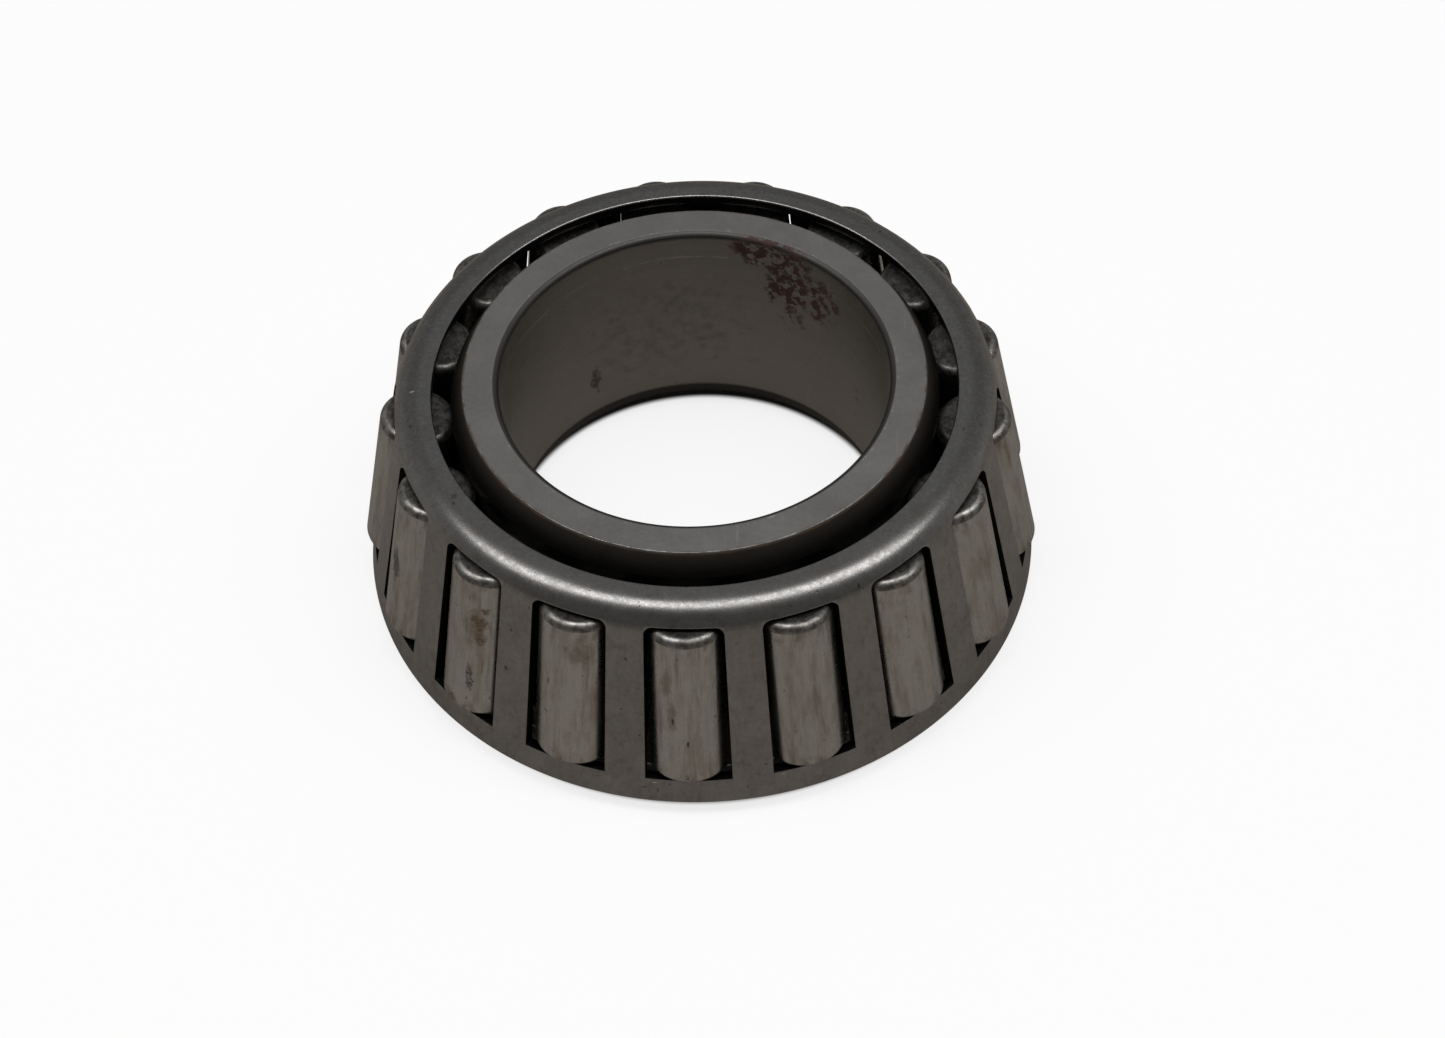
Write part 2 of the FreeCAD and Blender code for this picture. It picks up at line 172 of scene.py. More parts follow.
class Wiring:
    """Short ways to place, set and join the nodes of one tree."""

    def __init__(self, tree):
        self.tree = tree

    def node(self, kind, inputs=None, **settings):
        made = self.tree.nodes.new(kind)
        for name, value in settings.items():
            setattr(made, name, value)
        for key, value in (inputs or {}).items():
            self.feed(made.inputs[key], value)
        return made

    def feed(self, socket, value):
        if isinstance(value, bpy.types.NodeSocket):
            self.tree.links.new(value, socket)
        else:
            socket.default_value = value

    def math(self, operation, *values):
        made = self.node("ShaderNodeMath", operation=operation)
        for socket, value in zip(made.inputs, values):
            self.feed(socket, value)
        return made.outputs[0]

    def in_turn(self, operation, *values):
        """One operation on all the values, from the first to the last."""
        result = values[0]
        for value in values[1:]:
            result = self.math(operation, result, value)
        return result

    def times(self, *values):
        return self.in_turn("MULTIPLY", *values)

    def plus(self, *values):
        return self.in_turn("ADD", *values)

    def minus(self, first, second):
        return self.math("SUBTRACT", first, second)

    def most(self, *masks):
        """The strongest of several masks."""
        return self.in_turn("MAXIMUM", *masks)

    def vector(self, operation, *values):
        made = self.node("ShaderNodeVectorMath", operation=operation)
        for socket, value in zip(made.inputs, values):
            self.feed(socket, value)
        return made.outputs["Value" if operation in ("LENGTH", "DISTANCE") else "Vector"]

    def scaled(self, vector, factors):
        return self.vector("MULTIPLY", vector, factors)

    def step(self, value, start, end, low=0.0, high=1.0):
        """A soft step: low up to start, high from end on."""
        made = self.node("ShaderNodeMapRange", {"Value": value, "From Min": start, "From Max": end,
                                                "To Min": low, "To Max": high},
                         interpolation_type="SMOOTHSTEP")
        return made.outputs["Result"]

    def between(self, value, low, high, soft):
        """A mask that is 1 where value lies from low to high."""
        rise = self.step(value, low - soft, low + soft)
        fall = self.step(value, high - soft, high + soft, 1.0, 0.0)
        return self.times(rise, fall)

    def noise(self, vector, scale, detail=2.0, roughness=0.5):
        inputs = {"Vector": vector, "Scale": scale, "Detail": detail, "Roughness": roughness}
        return self.node("ShaderNodeTexNoise", inputs).outputs["Fac"]

    def mix(self, factor, first, second):
        """Two colours mixed by a factor."""
        made = self.node("ShaderNodeMix", data_type="RGBA")
        self.feed(made.inputs["Factor"], factor)
        colours = [s for s in made.inputs if s.type == "RGBA"]
        for socket, value in zip(colours, (first, second)):
            self.feed(socket, value)
        return next(s for s in made.outputs if s.type == "RGBA")

    def group(self, tree, inputs):
        kind = "GeometryNodeGroup" if tree.type == "GEOMETRY" else "ShaderNodeGroup"
        made = self.tree.nodes.new(kind)
        made.node_tree = tree
        for key, value in inputs.items():
            self.feed(made.inputs[key], value)
        return made


SOCKETS = {"value": "NodeSocketFloat", "vector": "NodeSocketVector", "whole": "NodeSocketInt",
           "yes": "NodeSocketBool", "shape": "NodeSocketGeometry", "finish": "NodeSocketMaterial"}


def new_group(name, kind, inputs, outputs):
    """An empty node group with named inputs and outputs, and its wiring."""
    tree = bpy.data.node_groups.new(name, kind)
    for word, sort in inputs.items():
        tree.interface.new_socket(word, in_out="INPUT", socket_type=SOCKETS[sort])
    for word, sort in outputs.items():
        tree.interface.new_socket(word, in_out="OUTPUT", socket_type=SOCKETS[sort])
    wiring = Wiring(tree)
    return tree, wiring, wiring.node("NodeGroupInput").outputs, wiring.node("NodeGroupOutput").inputs


# ------------------------------------------------------------------------- shared finishes

def make_place_group():
    """Object coordinates as millimetres, with the distance from the axis and the height."""
    tree, w, given, out = new_group("place_on_bearing", "ShaderNodeTree", {"Vector": "vector"},
                                    {"Place": "vector", "Radius": "value", "Height": "value"})
    place = w.scaled(given["Vector"], [1 / MM] * 3)
    w.feed(out["Place"], place)
    w.feed(out["Radius"], w.vector("LENGTH", w.scaled(place, (1, 1, 0))))
    split = w.node("ShaderNodeSeparateXYZ", {"Vector": place})
    w.feed(out["Height"], split.outputs["Z"])
    return tree


def make_mottle_group():
    """The uneven grey of handled steel: broad cloudy tone, fine speckle and scattered pits."""
    tree, w, given, out = new_group(
        "steel_mottle", "ShaderNodeTree",
        {"Place": "vector", "Cloud": "value", "Speckle": "value", "Pits": "value"},
        {"Tone": "value", "Pit": "value", "Relief": "value"})
    cloud = w.noise(given["Place"], given["Cloud"], detail=4.0, roughness=0.6)
    speckle = w.noise(given["Place"], given["Speckle"], detail=3.0, roughness=0.65)
    w.feed(out["Tone"], w.plus(w.times(cloud, 0.55), w.times(speckle, 0.45)))
    spread = w.noise(given["Place"], w.times(given["Speckle"], 0.6), detail=1.0)
    rare = w.noise(given["Place"], w.times(given["Cloud"], 2.0), detail=0.0)
    wanted = w.minus(w.plus(spread, w.times(rare, 0.35)), given["Pits"])
    w.feed(out["Pit"], w.step(wanted, 0.0, 0.06))
    w.feed(out["Relief"], speckle)
    return tree


def make_patch_group():
    """A ragged patch about a centre: 1 inside, breaking up towards its edge, and into flecks."""
    tree, w, given, out = new_group(
        "ragged_patch", "ShaderNodeTree",
        {"Place": "vector", "Centre": "vector", "Reach": "vector", "Ragged": "value",
         "Grain": "value", "Flecks": "value"}, {"Mask": "value"})
    away = w.vector("SUBTRACT", given["Place"], given["Centre"])
    distance = w.vector("LENGTH", w.vector("DIVIDE", away, given["Reach"]))
    grain = w.noise(given["Place"], given["Grain"], detail=4.0, roughness=0.65)
    torn = w.times(w.minus(grain, 0.5), given["Ragged"])
    whole = w.step(w.plus(w.minus(1.0, distance), torn), 0.0, 0.5)
    fleck = w.noise(given["Place"], w.times(given["Grain"], 2.2), detail=4.0, roughness=0.7)
    missing = w.times(w.step(fleck, 0.38, 0.60, 1.0, 0.0), given["Flecks"])
    w.feed(out["Mask"], w.times(whole, w.minus(1.0, missing)))
    return tree


def make_lines_group():
    """Fine marks of grinding or handling: long threads where the given place is squeezed."""
    tree, w, given, out = new_group("grinding_lines", "ShaderNodeTree",
                                    {"Place": "vector", "Fineness": "value"},
                                    {"Lines": "value", "Deep": "value"})
    threads = w.noise(given["Place"], given["Fineness"], detail=5.0, roughness=0.7)
    w.feed(out["Lines"], threads)
    w.feed(out["Deep"], w.step(threads, 0.62, 0.72))
    return tree


def make_edge_group():
    """Wear along an edge: strongest on the edge line, with gaps and nicks along it."""
    tree, w, given, out = new_group(
        "worn_edge", "ShaderNodeTree",
        {"Place": "vector", "Distance": "value", "Width": "value", "Nicks": "value"},
        {"Wear": "value"})
    uneven = w.noise(given["Place"], given["Nicks"], detail=4.0, roughness=0.7)
    reach = w.times(given["Width"], w.step(uneven, 0.52, 0.72, 0.0, 1.5))
    closeness = w.math("DIVIDE", w.minus(reach, given["Distance"]), given["Width"])
    w.feed(out["Wear"], w.step(closeness, 0.0, 0.6))
    return tree


place_group = make_place_group()
mottle_group = make_mottle_group()
patch_group = make_patch_group()
lines_group = make_lines_group()
edge_group = make_edge_group()


STEEL_IOR = 2.5
RELIEF_DEPTH = 0.02    # of pits, grooves and speckle, which only the shading shows


def colour(red, green, blue):
    return (red, green, blue, 1.0)


RUST = colour(0.105, 0.035, 0.030)
BROWN_STAIN = colour(0.150, 0.100, 0.062)
BROWN_SPOT = colour(0.170, 0.100, 0.045)
SMUDGE = colour(0.27, 0.222, 0.155)
DARK_STAIN = colour(0.050, 0.044, 0.038)
# painted shade: black and brown for the ring's corner rounds and the gap outside it
SHADE_BLACK = colour(0.024, 0.022, 0.020)
SHADE_BROWN = colour(0.085, 0.074, 0.066)
# painted shade on the cage windows' cut faces
CUT_FACE_SHADE = colour(0.010, 0.010, 0.010)
# grime and painted shade on the rollers' small corners
CORNER_GRIME_AND_SHADE = colour(0.13, 0.124, 0.118)
DRAWN_STEEL = colour(0.14, 0.13, 0.12)
GRINDING_GREY = colour(0.20, 0.185, 0.17)
THREAD_GREY = colour(0.26, 0.23, 0.20)
# painted reflection of the table, laid on the lower bore
BORE_TABLE_REFLECTION = colour(0.62, 0.60, 0.56)
RUBBED_STEEL = colour(0.66, 0.65, 0.64)
BRIGHT_STEEL = colour(0.80, 0.79, 0.77)

# a dark and a light tone of each surface, which its mottle wanders between
FACE_TONES = colour(0.330, 0.319, 0.311), colour(0.455, 0.441, 0.430)
BORE_TONES = colour(0.26, 0.245, 0.222), colour(0.50, 0.478, 0.443)
WALL_TONES = colour(0.220, 0.211, 0.203), colour(0.545, 0.532, 0.518)
# the flange's tones are darker than the wall's as painted shade, offsetting the lamp's brighter reflection
# there
FLANGE_SHADE_TONES = colour(0.150, 0.147, 0.145), colour(0.345, 0.338, 0.335)
ROLLER_TONES = colour(0.52, 0.51, 0.49), colour(0.74, 0.725, 0.70)
SANDY_TONES = colour(0.055, 0.052, 0.049), colour(0.15, 0.143, 0.135)

# the room, in front of the bearing and behind it, and the table, as it is and as the steel sees it
ROOM_TONES = colour(0.085, 0.083, 0.08), colour(0.25, 0.25, 0.25)
TABLE = colour(0.25, 0.25, 0.25)
TABLE_IN_STEEL = colour(0.29, 0.265, 0.24)
WHITE = colour(1, 1, 1)

# single marks: centre on the bearing, reach, raggedness, grain, and how far it is broken into flecks
BORE_RUST = [
    (round_place(152, BORE_R, 22.0), (3.4, 3.4, 6.8), 1.8, 0.6),
    (round_place(140, BORE_R, 20.6), (2.8, 2.8, 3.4), 1.8, 0.6),
    (round_place(163, BORE_R, 24.2), (3.0, 3.0, 2.4), 1.8, 0.6),
]
BORE_HAZE = (round_place(-168, BORE_R, 12.5), (11, 6, 8), 1.8, 0.5)
BORE_SPOT = (round_place(-143, BORE_R, 8.2), (0.85, 0.85, 1.7), 2.4, 1.1, 0.5)
CAGE_PITS = [
    (round_place(-55.7, 26.8, 24.7), (0.42, 0.42, 0.42), 0.7, 3.0),
    (round_place(-5.1, 33.8, 3.26), (0.10, 0.3, 0.35), 0.8, 4.0),
    (round_place(9.6, 33.8, 3.4), (0.08, 0.3, 0.40), 0.8, 4.0),
    (round_place(-8.0, 32.4, 10.0), (0.16, 0.2, 0.16), 0.6, 4.0),
    (round_place(-33.1, 31.7, 13.1), (0.30, 0.3, 0.30), 1.0, 3.0),
]
CAGE_SCRATCHES = [
    (round_place(-86.4, 27.6, 24.6), (0.45, 0.10, 0.2), 0.9, 3.0),
    (round_place(-5.6, 33.6, 4.2), (0.35, 0.3, 0.07), 1.4, 3.0),
    (round_place(15.5, 33.4, 4.3), (0.40, 0.3, 0.07), 1.4, 3.0),
]
FAINT_MARKS = [
    (round_place(-2.3, 32.5, 13.5), (0.55, 0.8, 2.2), 2.2, 0.9, 0.2),
    (round_place(-3.4, 31.6, 18.0), (0.80, 0.8, 2.6), 2.2, 0.7, 0.2),
    (round_place(-18.2, 31.0, 19.3), (1.4, 0.8, 1.8), 2.2, 0.7, 0.2),
    (round_place(-39.5, 31.6, 16.5), (1.6, 1.4, 3.4), 2.2, 0.8, 0.3),
    (round_place(-43.0, 33.8, 5.6), (1.8, 1.8, 0.9), 2.2, 1.0, 0.3),
]
BROWN_MARKS = [
    (round_place(-38.0, 30.9, 18.8), (0.55, 0.5, 0.5), 2.4, 1.3, 0.7),
    (round_place(-38.6, 31.4, 17.2), (1.0, 0.8, 1.1), 2.6, 1.3, 0.7),
    (round_place(-38.3, 31.7, 15.2), (0.75, 0.7, 0.8), 2.6, 1.3, 0.7),
    (round_place(-43.5, 33.6, 6.2), (1.2, 1.1, 0.7), 2.6, 1.3, 0.7),
]
DARK_MARKS = [
    (round_place(0.2, 33.3, 10.3), (0.16, 0.5, 0.45), 1.0, 3.0, 0.0),
    (round_place(-2.2, 32.5, 12.9), (0.16, 0.5, 0.5), 1.6, 2.0, 0.0),
    (round_place(-1.1, 31.2, 20.7), (0.12, 0.5, 0.14), 0.8, 3.0, 0.0),
    (round_place(-24.2, 32.8, 11.0), (0.50, 0.4, 0.10), 1.4, 3.0, 0.3),
    (round_place(-39.9, 33.1, 10.0), (0.45, 0.45, 3.4), 2.8, 1.4, 0.8),
    (round_place(-62.8, 32.5, 14.2), (0.70, 0.9, 2.8), 1.8, 1.2, 0.3),
]


class Finish:
    """A metal material under construction: its wiring, its place nodes and its colour so far."""

    def __init__(self, name):
        self.material = bpy.data.materials.new(name)
        self.material.use_nodes = True
        self.w = Wiring(self.material.node_tree)
        self.shader = self.material.node_tree.nodes["Principled BSDF"]
        self.shader.inputs["IOR"].default_value = STEEL_IOR

    def read_place(self, vector):
        self.at = self.w.group(place_group, {"Vector": vector}).outputs

    def read_mottle(self, place, cloud, speckle, pits):
        inputs = {"Place": place, "Cloud": cloud, "Speckle": speckle, "Pits": pits}
        self.mottle = self.w.group(mottle_group, inputs).outputs

    def mottled(self, tones):
        return self.w.mix(self.mottle["Tone"], *tones)

    def lines(self, place, fineness, kind="Lines"):
        return self.w.group(lines_group, {"Place": place, "Fineness": fineness}).outputs[kind]

    def patch(self, centre, reach, ragged, grain, flecks=0.0):
        inputs = {"Place": self.at["Place"], "Centre": centre, "Reach": reach,
                  "Ragged": ragged, "Grain": grain, "Flecks": flecks}
        return self.w.group(patch_group, inputs).outputs["Mask"]

    def patches(self, marks):
        return self.w.most(*(self.patch(*mark) for mark in marks))

    def coat(self, paint, mask, strength=1.0):
        """Lay one more colour over the colour so far, where the mask says and as strongly."""
        self.base = self.w.mix(self.w.times(mask, strength), self.base, paint)

    def complete(self, metallic, roughness, relief, strength):
        feed = self.w.feed
        feed(self.shader.inputs["Base Color"], self.base)
        feed(self.shader.inputs["Metallic"], metallic)
        feed(self.shader.inputs["Roughness"], roughness)
        bump = self.w.node("ShaderNodeBump", {"Strength": strength, "Distance": RELIEF_DEPTH * MM,
                                              "Height": relief})
        feed(self.shader.inputs["Normal"], bump.outputs["Normal"])
        return self.material


def object_place(wiring):
    return wiring.node("ShaderNodeTexCoord").outputs["Object"]


def make_ring_finish():
    """Ground ring steel: matt faces, a dull bore with a bloom of rust and a painted reflection low down,
    and painted black shade at the bore's corners and outside.
    """
    finish = Finish("ground_ring_steel")
    w = finish.w
    finish.read_place(object_place(w))
    place, radius, height = (finish.at[k] for k in ("Place", "Radius", "Height"))
    finish.read_mottle(place, 0.22, 2.4, 0.97)

    in_bore = w.step(radius, BORE_R + 0.01, BORE_R + 0.05, 1.0, 0.0)
    on_face = w.step(height, RING_WIDTH - 0.08, RING_WIDTH - 0.02)
    front_corner = w.times(
        w.between(radius, BORE_R + 0.03, BORE_R + FRONT_BORE_CORNER, 0.03),
        w.step(height, RING_WIDTH - 0.02, RING_WIDTH - 0.005, 1.0, 0.0))
    back_corner = w.times(
        w.step(height, 0.02, 0.08),
        w.step(height, BACK_BORE_CORNER - 0.5, BACK_BORE_CORNER + 0.1, 1.0, 0.0),
        w.step(radius, BORE_R + BACK_BORE_CORNER, BORE_R + BACK_BORE_CORNER + 0.1, 1.0, 0.0))
    outside = w.times(
        w.step(radius, front_face_r + 0.05, front_face_r + 0.12),
        w.step(height, BACK_RIB_THICKNESS - 0.3, BACK_RIB_THICKNESS + 0.3))
    # painted reflection: the bore is paler towards its back end, as if reflecting the table below
    painted_table_reflection = w.step(height, BACK_BORE_CORNER, RING_WIDTH - 5, 0.32, 0.0)
    bore_tone = w.mix(painted_table_reflection, finish.mottled(BORE_TONES), BORE_TABLE_REFLECTION)
    finish.base = w.mix(in_bore, finish.mottled(FACE_TONES), bore_tone)

    # lines: round the bore from grinding, and scratches across the face from handling
    section = w.node("ShaderNodeCombineXYZ", {"X": radius, "Y": height}).outputs[0]
    rings = finish.lines(section, 3.5)
    crossing = finish.lines(w.scaled(place, (1.9, 0.09, 0.5)), 2.0, "Deep")
    finish.coat(BRIGHT_STEEL, w.times(crossing, on_face), 0.25)
    finish.coat(GRINDING_GREY, w.times(w.step(rings, 0.35, 0.75, 0.05, 0.22), in_bore))

    # a scuff that wanders round the bore near its front end
    wander = w.times(w.minus(w.noise(place, 0.12, detail=1.0), 0.5), 0.9)
    scuff = w.between(w.plus(height, wander), RING_WIDTH - 3.2, RING_WIDTH - 3.08, 0.07)
    broken = w.step(w.noise(place, 0.5, detail=3.0), 0.36, 0.6)
    finish.coat(BRIGHT_STEEL, w.times(scuff, broken, in_bore), 0.6)

    # rust at the back of the bore on the +X side, and dull stains beside it
    lace = w.step(w.noise(place, 1.05, detail=5.0, roughness=0.68), 0.465, 0.505)
    rust = w.times(finish.patches(BORE_RUST), lace, w.most(in_bore, front_corner))
    cloud = w.step(w.noise(place, 0.6, detail=6.0, roughness=0.75), 0.42, 0.66)
    haze = w.times(cloud, finish.patch(*BORE_HAZE), 0.4)
    specks = w.step(w.noise(place, 1.1, detail=3.0, roughness=0.6), 0.67, 0.72)
    stain = w.times(w.most(haze, w.times(specks, 0.4), finish.patch(*BORE_SPOT)), in_bore)
    finish.coat(DARK_STAIN, stain, 0.85)
    finish.coat(RUST, rust, 0.92)

    # painted shade: the bore's corner rounds are painted black, and so is the outside in the gap under the
    # cage, brown just below the front edge and black further down
    finish.coat(SHADE_BLACK, w.most(front_corner, back_corner), 0.82)
    below_edge = w.minus(RING_WIDTH, height)
    finish.coat(w.mix(w.step(below_edge, 0.2, 2.0), SHADE_BROWN, SHADE_BLACK), outside)
    finish.coat(RUST, rust, 0.5)

    # the edges: a brown film on the bevelled rim, bright nicks on the edge lines
    film = w.times(w.between(radius, front_face_r - 0.12, front_face_r + 0.3, 0.06),
                   w.step(w.noise(place, 0.8, detail=4.0), 0.38, 0.6))
    finish.coat(BROWN_STAIN, film, 0.55)
    for edge_r, strength in ((front_face_r, 0.5), (BORE_R + FRONT_BORE_CORNER + HOLD, 0.8)):
        away = w.vector("DISTANCE", section, (edge_r, RING_WIDTH, 0))
        nicks = w.group(edge_group, {"Place": place, "Distance": away, "Width": 0.07, "Nicks": 1.9})
        finish.coat(BRIGHT_STEEL, nicks.outputs["Wear"], strength)

    dull = w.most(front_corner, back_corner, outside)
    roughness = w.plus(w.step(finish.mottle["Tone"], 0.3, 0.7, 0.27, 0.36), w.times(in_bore, 0.09),
                       w.most(w.times(rust, 0.5), w.times(dull, 0.2)))
    metallic = w.minus(1.0, w.most(w.times(rust, 0.3), w.times(stain, 0.2)))
    relief = w.plus(w.times(finish.mottle["Relief"], 0.3), w.times(rings, in_bore, 0.5),
                    w.times(rust, 0.6))
    return finish.complete(metallic, roughness, relief, 0.25)


def make_cage_finish():
    """Pressed sheet steel: matt, evenly mottled grey with small pits, a flange and bend crest painted
    darker as shade, and the punched faces painted black as shade.
    """
    finish = Finish("pressed_cage_steel")
    w = finish.w
    finish.read_place(object_place(w))
    place, radius, height = (finish.at[k] for k in ("Place", "Radius", "Height"))
    finish.read_mottle(place, 0.30, 2.6, 0.95)
    on_flange = w.step(height, FLANGE_TOP_Z - 1.2, FLANGE_TOP_Z - 0.1)
    # painted shade: the flange takes darker tones than the wall, against the lamp's reflection on it
    finish.base = w.mix(on_flange, finish.mottled(WALL_TONES), finish.mottled(FLANGE_SHADE_TONES))
    # painted shade on the bend's crest, which dims its highlight
    painted_crest_shade = w.times(on_flange, w.step(radius, bend.x, bend.x + 0.8))
    finish.coat(DARK_STAIN, painted_crest_shade, 0.30)

    # rubbing has speckled the outside of the bend, and drawing marks run down the wall
    on_bend = w.between(height, bend_z + 1.2, FLANGE_TOP_Z + 1.0, 0.6)
    speckle = w.step(w.noise(place, 2.6, detail=5.0, roughness=0.8), 0.46, 0.66)
    finish.coat(RUBBED_STEEL, w.times(on_bend, speckle), 0.14)
    drawn = finish.lines(w.scaled(place, (1.0, 1.0, 0.07)), 2.2)
    finish.coat(DRAWN_STEEL, w.step(drawn, 0.4, 0.75, 0.0, 0.2))
    grime = w.step(w.noise(place, 0.75, detail=5.0, roughness=0.72), 0.5, 0.68)
    finish.coat(BROWN_STAIN, grime, 0.28)

    pits = finish.patches(CAGE_PITS)
    finish.coat(DARK_STAIN, finish.mottle["Pit"], 0.55)
    finish.coat(DARK_STAIN, pits, 0.85)
    finish.coat(BRIGHT_STEEL, finish.patches(CAGE_SCRATCHES))
    # the punched faces of the windows are painted black as shade
    punched = w.node("ShaderNodeAttribute", attribute_name="cut").outputs["Fac"]
    finish.coat(CUT_FACE_SHADE, punched)

    roughness = w.plus(w.step(finish.mottle["Tone"], 0.3, 0.7, 0.42, 0.32),
                       w.times(on_bend, -0.10), w.times(punched, 0.15))
    metallic = w.minus(1.0, w.times(pits, 0.3))
    dents = w.times(w.most(finish.mottle["Pit"], pits), -1.5)
    smoother = w.step(on_bend, 0.0, 1.0, 1.0, 0.45)
    relief = w.times(w.plus(finish.mottle["Relief"], dents), smoother)
    return finish.complete(metallic, roughness, relief, 0.34)


def make_roller_finish():
    """Ground roller steel: a soft sheen under brown smudges and threads that run along the
    axis, a small corner darkened by grime and painted shade, and matt dark end faces. Reads the roller's
    own upright place."""
    finish = Finish("ground_roller_steel")
    w = finish.w
    own = w.node("ShaderNodeAttribute", attribute_name="own_place").outputs["Vector"]
    finish.read_place(own)
    height = finish.at["Height"]

    # the number sets each roller's pattern apart from the others'
    number = w.node("ShaderNodeAttribute", attribute_name="roller_number").outputs["Fac"]
    apart = w.node("ShaderNodeCombineXYZ", {"X": w.times(number, 17.3), "Y": w.times(number, 9.1)})
    place = w.vector("ADD", finish.at["Place"], apart.outputs[0])
    finish.read_mottle(place, 0.30, 1.8, 0.95)
    finish.base = finish.mottled(ROLLER_TONES)

    def drawn_out(squeeze):
        """The place, squeezed along the axis, so that what is drawn there comes out longer."""
        return w.scaled(place, (1.0, 1.0, squeeze))

    smudge = w.step(w.noise(drawn_out(0.22), 0.75, detail=6.0, roughness=0.68), 0.44, 0.68)
    finish.coat(SMUDGE, smudge, 0.42)
    breaks = w.step(w.noise(drawn_out(0.4), 0.6, detail=2.0), 0.38, 0.6, 0.25, 1.0)
    threads = w.step(finish.lines(drawn_out(0.05), 1.1), 0.50, 0.66)
    finish.coat(SMUDGE, w.times(threads, breaks), 0.55)
    fine = finish.lines(drawn_out(0.02), 3.5)
    finish.coat(THREAD_GREY, w.step(fine, 0.52, 0.72, 0.0, 0.30))
    spots = w.step(w.noise(drawn_out(0.7), 0.8, detail=5.0, roughness=0.6), 0.66, 0.71)
    finish.coat(BROWN_STAIN, spots, 0.6)
    ends = w.most(w.step(height, 0.6, 2.2, 1.0, 0.0),
                  w.step(height, roller_top - 4.0, roller_top - SMALL_END_CORNER))
    film = w.step(w.noise(drawn_out(0.5), 0.9, detail=5.0, roughness=0.7), 0.46, 0.66)
    finish.coat(BROWN_STAIN, w.times(ends, film), 0.5)

    # marks on single rollers, placed on the bearing
    finish.read_place(object_place(w))
    brown = finish.patches(BROWN_MARKS)
    dark = finish.patches(DARK_MARKS)
    finish.coat(SMUDGE, finish.patches(FAINT_MARKS), 0.55)
    finish.coat(BROWN_SPOT, brown, 0.85)
    finish.coat(DARK_STAIN, dark, 0.9)
    marks = w.most(brown, dark)

    # the small corner: grime in blotches over a painted shade that dims its highlight
    corner_start = roller_top - SMALL_END_CORNER
    small_corner = w.step(height, corner_start - 0.08, corner_start + 0.08)
    grime = w.step(w.noise(place, 1.3, detail=4.0, roughness=0.65), 0.42, 0.62, 0.45, 0.9)
    finish.coat(CORNER_GRIME_AND_SHADE, w.times(small_corner, grime))
    end = w.most(w.step(height, roller_top - 0.10, roller_top - 0.01),
                 w.step(height, 0.02, 0.16, 1.0, 0.0))
    finish.coat(w.mix(w.step(finish.mottle["Relief"], 0.35, 0.65), *SANDY_TONES), end)

    roughness = w.plus(w.step(finish.mottle["Tone"], 0.3, 0.7, 0.32, 0.24), w.times(small_corner, 0.12),
                       w.times(end, 0.2), w.times(w.most(marks, smudge), 0.1))
    metallic = w.minus(1.0, w.times(marks, 0.2))
    relief = w.plus(w.times(fine, 0.15), w.times(finish.mottle["Relief"], w.plus(end, 0.04)))
    return finish.complete(metallic, roughness, relief, 0.2)


# -------------------------------------------------------------------------------- outlines

def arc(centre, start, end, steps, long_way=False):
    """Points from start to end about a centre, the short way round or the long way."""
    first, last = start - centre, end - centre
    sweep = (math.atan2(last.y, last.x) - math.atan2(first.y, first.x) + math.pi) % math.tau - math.pi
    if long_way:
        sweep -= math.copysign(math.tau, sweep)
    turns = [Matrix.Rotation(sweep * i / steps, 2) for i in range(steps + 1)]
    return [centre + turn @ first for turn in turns]


def rounded_corner(before, corner, after, size, steps):
    """The points that round one corner off, or cut a relief into it where the size is negative."""
    back, on = (before - corner).normalized(), (after - corner).normalized()
    if size < 0:
        return arc(corner, corner - back * size, corner - on * size, 2 * steps, long_way=True)
    half = back.angle(on) / 2
    run = size / math.tan(half)
    centre = corner + (back + on).normalized() * size / math.sin(half)
    start, end = corner + back * run, corner + on * run
    return [start + back * HOLD] + arc(centre, start, end, steps) + [end + on * HOLD]


def rounded_outline(corners, steps=8, closed=True):
    """An outline through (radius, height, round) corners. An open one keeps its two ends."""
    points = []
    for i, (radius, height, size) in enumerate(corners):
        corner = Vector((radius, height))
        at_end = not closed and i in (0, len(corners) - 1)
        if at_end or size == 0:
            points.append(corner)
            continue
        before = Vector(corners[i - 1][:2])
        after = Vector(corners[(i + 1) % len(corners)][:2])
        points += rounded_corner(before, corner, after, size, steps)
    return points


def ring_outline():
    """The ring's section, from the back end of the bore out and round to the front end of it."""
    rise = math.tan(RACEWAY_ANGLE)
    race_large = in_large - Vector((ROLLING_CLEARANCE, ROLLING_CLEARANCE))
    race_small_z = in_small.y + END_PLAY
    race_small_r = race_large.x - (race_small_z - race_large.y) * rise
    back_rib_z = race_large.y + (BACK_RIB_R - in_large.x) * rise
    front_rib_z = race_small_z + FRONT_RIB_HEIGHT * rise
    bevel_z = RING_WIDTH - FRONT_BEVEL
    return rounded_outline([
        (BORE_R, 0, BACK_BORE_CORNER),
        (BACK_RIB_R, 0, BACK_RIM_CORNER),
        (BACK_RIB_R, back_rib_z, BACK_RIM_CORNER),
        (race_large.x, race_large.y, -RELIEF_RADIUS),
        (race_small_r, race_small_z, -RELIEF_RADIUS),
        (front_rib_r, front_rib_z, FRONT_RIB_CORNER),
        (front_rib_r, bevel_z - FRONT_FLANK.y, FRONT_RIB_CORNER),
        (front_rib_r + FRONT_FLANK.x, bevel_z, BROKEN_EDGE),
        (front_face_r, RING_WIDTH, BROKEN_EDGE),
        (BORE_R, RING_WIDTH, FRONT_BORE_CORNER),
    ])


